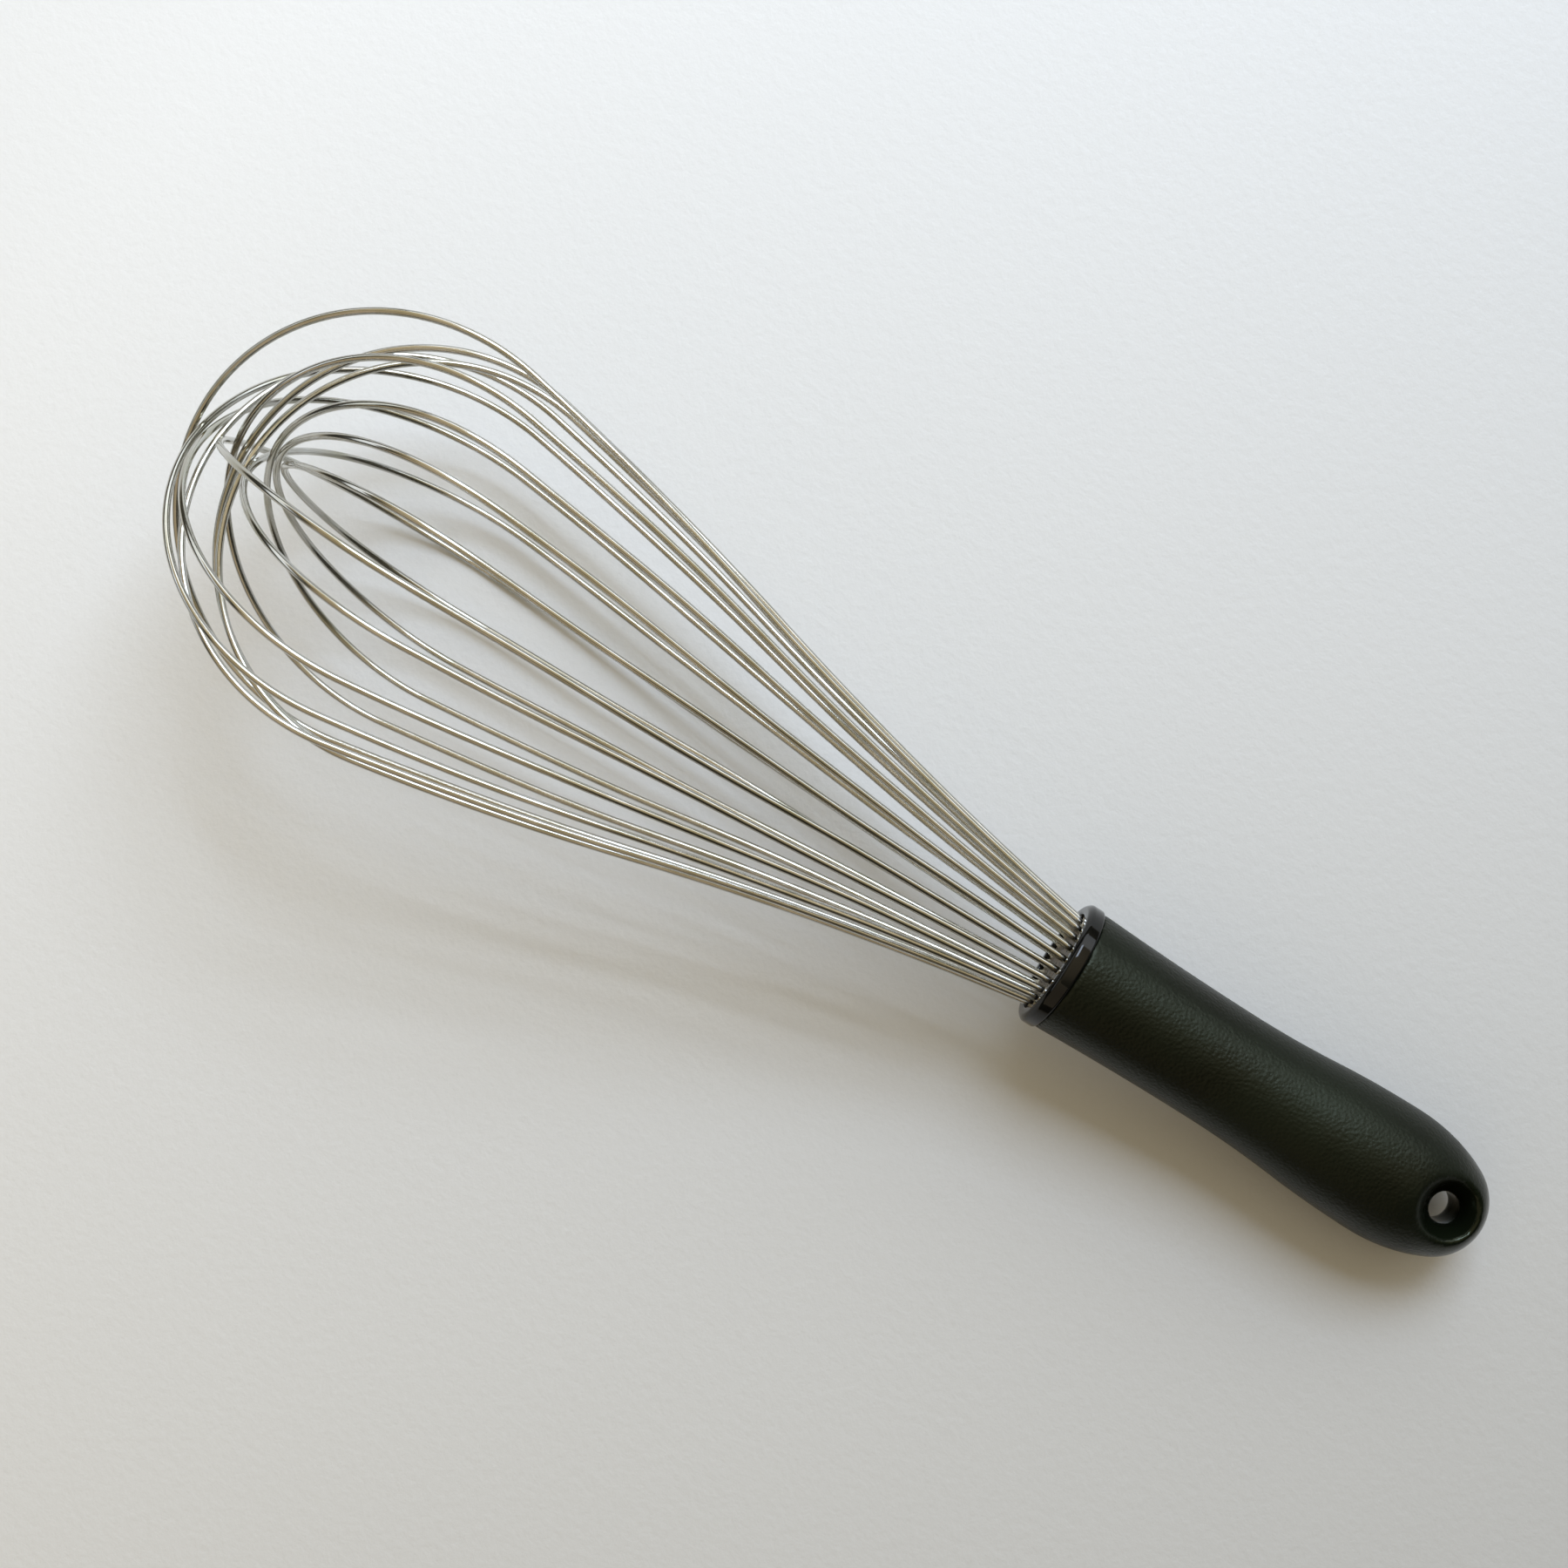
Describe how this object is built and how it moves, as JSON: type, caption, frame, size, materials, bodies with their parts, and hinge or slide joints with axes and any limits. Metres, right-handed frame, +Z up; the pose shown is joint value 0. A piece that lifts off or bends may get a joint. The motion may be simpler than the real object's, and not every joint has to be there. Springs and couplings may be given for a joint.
{
  "type": "balloon whisk",
  "caption": "Balloon whisk with nested polished wire loops, a glossy collar and a soft-grip handle with a dished hanging hole, lying at rest.",
  "frame": {"origin": "on the resting plane, under the centre of the bounding box", "axes": "+Z up from the resting plane, +X towards the balloon tip, +Y across the whisk; the whisk axis climbs about 7 degrees from the handle to the balloon"},
  "size_m": [0.285, 0.0808, 0.0823],
  "materials": {
    "wire": "polished",
    "core": "gloss black",
    "grip": "matt charcoal with a fine leather grain",
    "plug": "gloss",
    "resin": "gloss amber"
  },
  "bodies": {
    "root": {"wire_loop_01": "wire", "wire_loop_02": "wire", "wire_loop_03": "wire", "wire_loop_04": "wire", "wire_loop_05": "wire", "wire_loop_06": "wire", "wire_loop_07": "wire", "wire_loop_08": "wire", "wire_loop_09": "wire", "wire_loop_10": "wire", "wire_loop_11": "wire", "wire_loop_12": "wire", "handle_core": "core", "grip": "grip", "wire_plug": "plug", "resin_fill": "resin", "seal_beads": "resin"}
  },
  "joints": []
}
